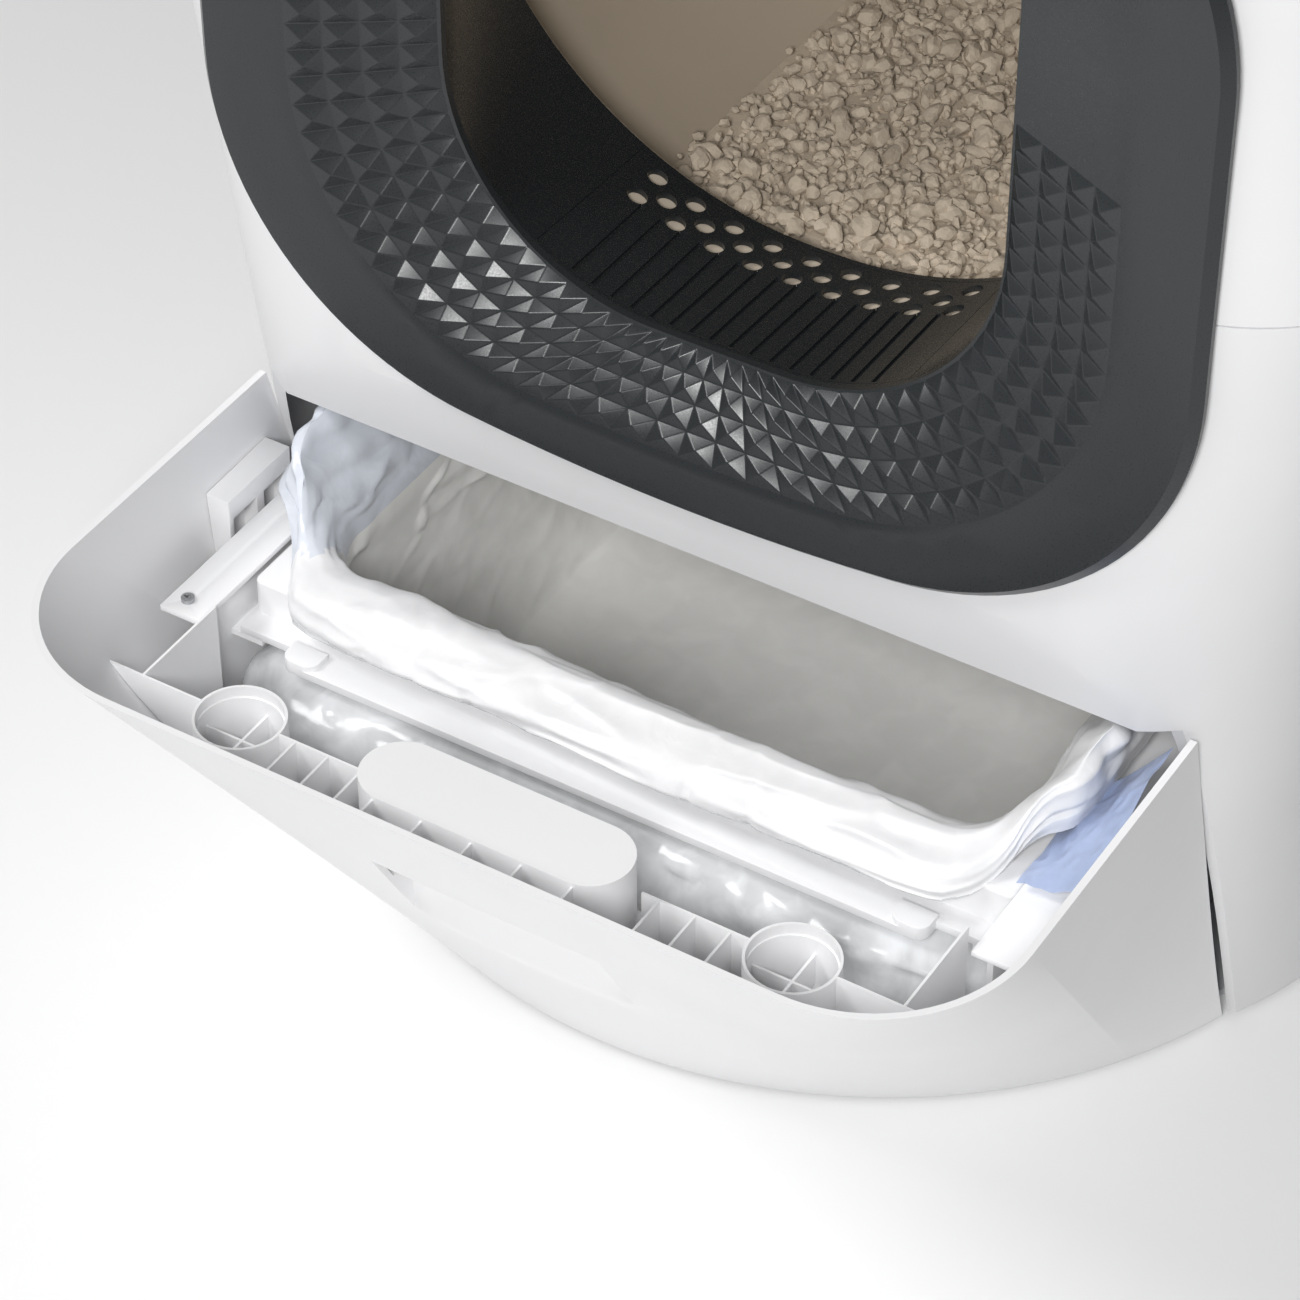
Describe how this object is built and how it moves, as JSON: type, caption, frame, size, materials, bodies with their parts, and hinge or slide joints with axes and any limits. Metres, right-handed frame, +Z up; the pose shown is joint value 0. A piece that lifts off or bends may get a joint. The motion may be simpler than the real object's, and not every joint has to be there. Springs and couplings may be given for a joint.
{
  "type": "self-cleaning litter box",
  "caption": "Egg-shaped automatic litter box: a drum turns behind a dark dished entry, over a ribbed pull-out waste drawer with a bag.",
  "frame": {"origin": "on the floor, below the middle of the whole box", "axes": "+X to the right seen from the front, +Y to the back, +Z up"},
  "size_m": [0.597, 0.6462, 0.775],
  "materials": {
    "shell": "satin",
    "bezel": "matte",
    "tunnel": "matte",
    "seal": "matte",
    "drum": "satin",
    "litter": "rough",
    "nylon": "satin",
    "motor": "satin",
    "steel": "satin",
    "chassis": "matte",
    "drawer": "satin",
    "bag": "gloss",
    "board": "satin",
    "panel": "gloss",
    "button": "satin",
    "roller": "matte"
  },
  "bodies": {
    "housing": {"base_shell": "shell", "upper_shell": "shell", "entry_bezel": "bezel", "entry_tunnel": "tunnel", "entry_step": "tunnel", "mouth_seal": "seal", "litter_bed": "litter", "gear_motor": "motor", "motor_bracket": "steel", "roller_brackets": "chassis", "roller_pins": "steel", "base_deck": "chassis", "base_pan": "chassis", "deck_posts": "chassis", "deck_screws": "steel", "drawer_rail_left": "chassis", "drawer_rail_right": "chassis", "rubber_feet": "roller", "load_cells": "motor", "power_inlet": "tunnel", "control_board": "board", "control_panel": "panel"},
    "drum": {"drum_front": "drum", "drum_rear": "drum", "drum_screws": "steel", "ring_gear": "nylon", "sieve_screen": "drum"},
    "pinion": {"drive_pinion": "nylon"},
    "wheel_front_left": {"roller_front_left": "roller"},
    "wheel_back_left": {"roller_back_left": "roller"},
    "wheel_front_right": {"roller_front_right": "roller"},
    "wheel_back_right": {"roller_back_right": "roller"},
    "drawer": {"drawer_front": "drawer", "rib_set_left": "drawer", "rib_set_right": "drawer", "cover_cup_left": "drawer", "cover_cup_right": "drawer", "gusset_left": "drawer", "gusset_right": "drawer", "drawer_bin": "drawer", "bag_frame": "drawer", "bag_strip_left": "drawer", "bag_strip_right": "drawer", "strip_screws": "steel", "cover_catch_left": "drawer", "cover_catch_right": "drawer", "waste_bag": "bag"},
    "power_button_cap": {"power_button": "button"},
    "clean_button_cap": {"clean_button": "button"},
    "level_button_cap": {"level_button": "button"}
  },
  "joints": [
    {"name": "drum_spin", "type": "hinge", "parent": "housing", "child": "drum", "pos_m": [0, 0.133, 0.518], "axis": [0, 1, 0], "continuous": true, "deforming": ["litter_bed"]},
    {"name": "pinion_spin", "type": "hinge", "parent": "housing", "child": "pinion", "pos_m": [0.1724, 0.231, 0.31255], "axis": [0, 1, 0], "continuous": true},
    {"name": "roller_spin_front_left", "type": "hinge", "parent": "housing", "child": "wheel_front_left", "pos_m": [-0.10325, 0.039, 0.29659], "axis": [0, 1, 0], "continuous": true},
    {"name": "roller_spin_back_left", "type": "hinge", "parent": "housing", "child": "wheel_back_left", "pos_m": [-0.10325, 0.196, 0.29659], "axis": [0, 1, 0], "continuous": true},
    {"name": "roller_spin_front_right", "type": "hinge", "parent": "housing", "child": "wheel_front_right", "pos_m": [0.10325, 0.039, 0.29659], "axis": [0, 1, 0], "continuous": true},
    {"name": "roller_spin_back_right", "type": "hinge", "parent": "housing", "child": "wheel_back_right", "pos_m": [0.10325, 0.196, 0.29659], "axis": [0, 1, 0], "continuous": true},
    {"name": "drawer_slide", "type": "slide", "parent": "housing", "child": "drawer", "axis": [0, -1, 0], "range_m": [0, 0.3]},
    {"name": "power_button_press", "type": "slide", "parent": "housing", "child": "power_button_cap", "axis": [0, 0, -1], "range_m": [0, 0.0008], "stiffness_N_per_m": 900, "springref_m": -0.0012},
    {"name": "clean_button_press", "type": "slide", "parent": "housing", "child": "clean_button_cap", "axis": [0, 0, -1], "range_m": [0, 0.0008], "stiffness_N_per_m": 900, "springref_m": -0.0012},
    {"name": "level_button_press", "type": "slide", "parent": "housing", "child": "level_button_cap", "axis": [0, 0, -1], "range_m": [0, 0.0008], "stiffness_N_per_m": 900, "springref_m": -0.0012}
  ],
  "couplings": [
    {"joint": "pinion_spin", "follows": "drum_spin", "ratio": -7.375},
    {"joint": "roller_spin_front_left", "follows": "drum_spin", "ratio": -14.25},
    {"joint": "roller_spin_back_left", "follows": "drum_spin", "ratio": -14.25},
    {"joint": "roller_spin_front_right", "follows": "drum_spin", "ratio": -14.25},
    {"joint": "roller_spin_back_right", "follows": "drum_spin", "ratio": -14.25}
  ]
}
